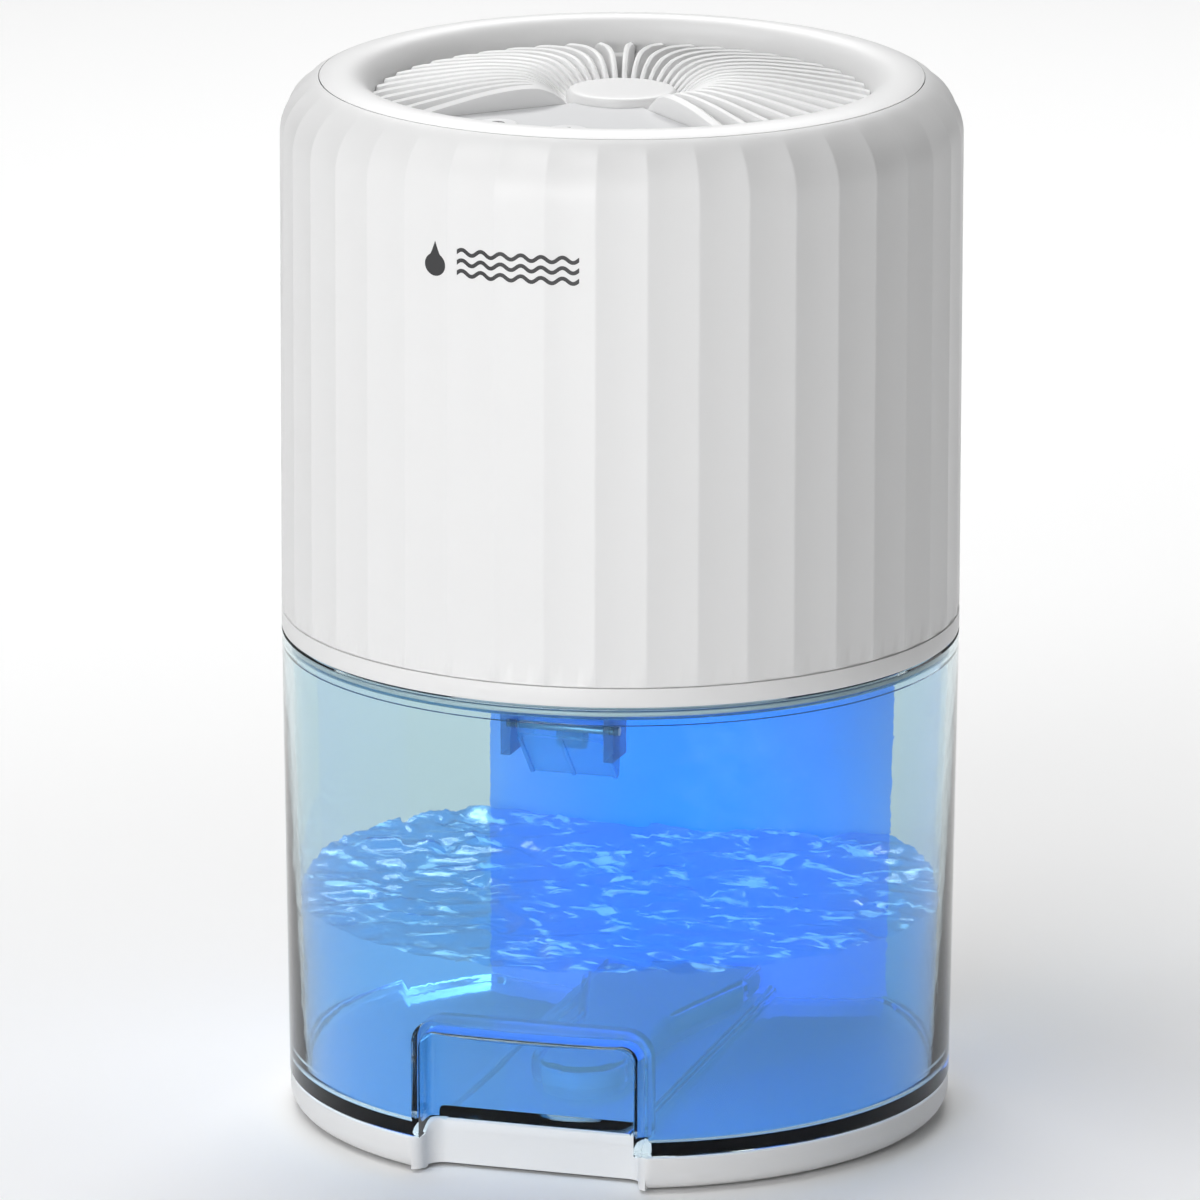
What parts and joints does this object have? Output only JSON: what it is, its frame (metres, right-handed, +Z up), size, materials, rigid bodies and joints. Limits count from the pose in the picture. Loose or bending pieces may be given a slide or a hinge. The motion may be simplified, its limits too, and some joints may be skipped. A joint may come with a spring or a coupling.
{
  "type": "dehumidifier",
  "caption": "Cylindrical desktop condensing dehumidifier with fluted white housing, radial outlet grille, top buttons and a clear slide-out water tank with float.",
  "frame": {"origin": "centre of the footprint on the surface it stands on", "axes": "+Z up, -Y out of the front (finger pocket and buttons), +X to the right seen from the front"},
  "size_m": [0.15, 0.15, 0.235],
  "materials": {
    "housing_white": "satin moulded white, very fine texture",
    "grille_white": "satin moulded white",
    "panel_grey": "fine matt grey",
    "button_white": "satin white with printed symbols",
    "clear_tank": "clear, lightly blue, polished",
    "clear_lid": "clear, blue tinted, polished",
    "lit_diffuser": "milky diffuser lit blue from behind",
    "led_board": "white board with lamps",
    "circuit_board": "solder mask",
    "black_plastic": "matt black moulded",
    "tray_plastic": "moulded",
    "soft_rubber": "matt",
    "silicone": "translucent soft",
    "screw_steel": "zinc plated",
    "alloy": "milled and extruded",
    "module_ceramic": "bare ceramic faces",
    "foam": "closed-cell foam",
    "copper_winding": "enamelled winding",
    "switch_metal": "pressed cover",
    "magnet": "sintered",
    "sensor_glass": "glass capsule",
    "filter_mesh": "woven nylon mesh"
  },
  "bodies": {
    "main_unit": {"base_pan": "housing_white", "rubber_feet": "soft_rubber", "base_screws": "screw_steel", "rear_column": "housing_white", "light_diffuser": "lit_diffuser", "led_strip": "led_board", "power_board": "circuit_board", "dc_jack": "black_plastic", "bottom_cover": "housing_white", "housing_screws": "screw_steel", "condensate_tray": "tray_plastic", "drip_nozzle": "soft_rubber", "reed_switch": "sensor_glass", "body_shell": "housing_white", "intake_filter": "filter_mesh", "chassis_plate": "alloy", "hot_heatsink": "alloy", "peltier_module": "module_ceramic", "insulation_frame": "foam", "cold_sink": "alloy", "clamp_screws": "screw_steel", "fan_frame": "black_plastic", "fan_stator": "copper_winding", "fan_bearings": "screw_steel", "fan_screws": "screw_steel", "top_ring": "housing_white", "outlet_grille": "grille_white", "grille_cap": "grille_white", "control_panel": "panel_grey", "control_board": "circuit_board", "tact_switches": "switch_metal"},
    "tank": {"tank_shell": "clear_tank", "tank_lid": "clear_lid", "lid_seal": "silicone", "pour_plug": "silicone", "float_pin": "screw_steel"},
    "float": {"float_box": "clear_lid", "float_magnet": "magnet"},
    "fan_rotor": {"fan_impeller": "black_plastic", "rotor_magnet": "magnet", "fan_shaft": "screw_steel"},
    "sleep_button": {"button_sleep": "button_white"},
    "mode_button": {"button_mode": "button_white"},
    "power_button": {"button_power": "button_white"}
  },
  "joints": [
    {"name": "tank_slide", "type": "slide", "parent": "main_unit", "child": "tank", "axis": [0, -1, 0], "range_m": [0, 0.14]},
    {"name": "float_swing", "type": "hinge", "parent": "tank", "child": "float", "pos_m": [0, -0.042, 0.097], "axis": [1, 0, 0], "range_deg": [0, 38]},
    {"name": "fan_spin", "type": "hinge", "parent": "main_unit", "child": "fan_rotor", "pos_m": [0, 0, 0.2], "axis": [0, 0, 1], "continuous": true},
    {"name": "sleep_press", "type": "slide", "parent": "main_unit", "child": "sleep_button", "axis": [0, 0, -1], "range_m": [0, 0.0007], "stiffness_N_per_m": 600, "springref_m": -0.0004},
    {"name": "mode_press", "type": "slide", "parent": "main_unit", "child": "mode_button", "axis": [0, 0, -1], "range_m": [0, 0.0007], "stiffness_N_per_m": 600, "springref_m": -0.0004},
    {"name": "power_press", "type": "slide", "parent": "main_unit", "child": "power_button", "axis": [0, 0, -1], "range_m": [0, 0.0007], "stiffness_N_per_m": 600, "springref_m": -0.0004}
  ]
}
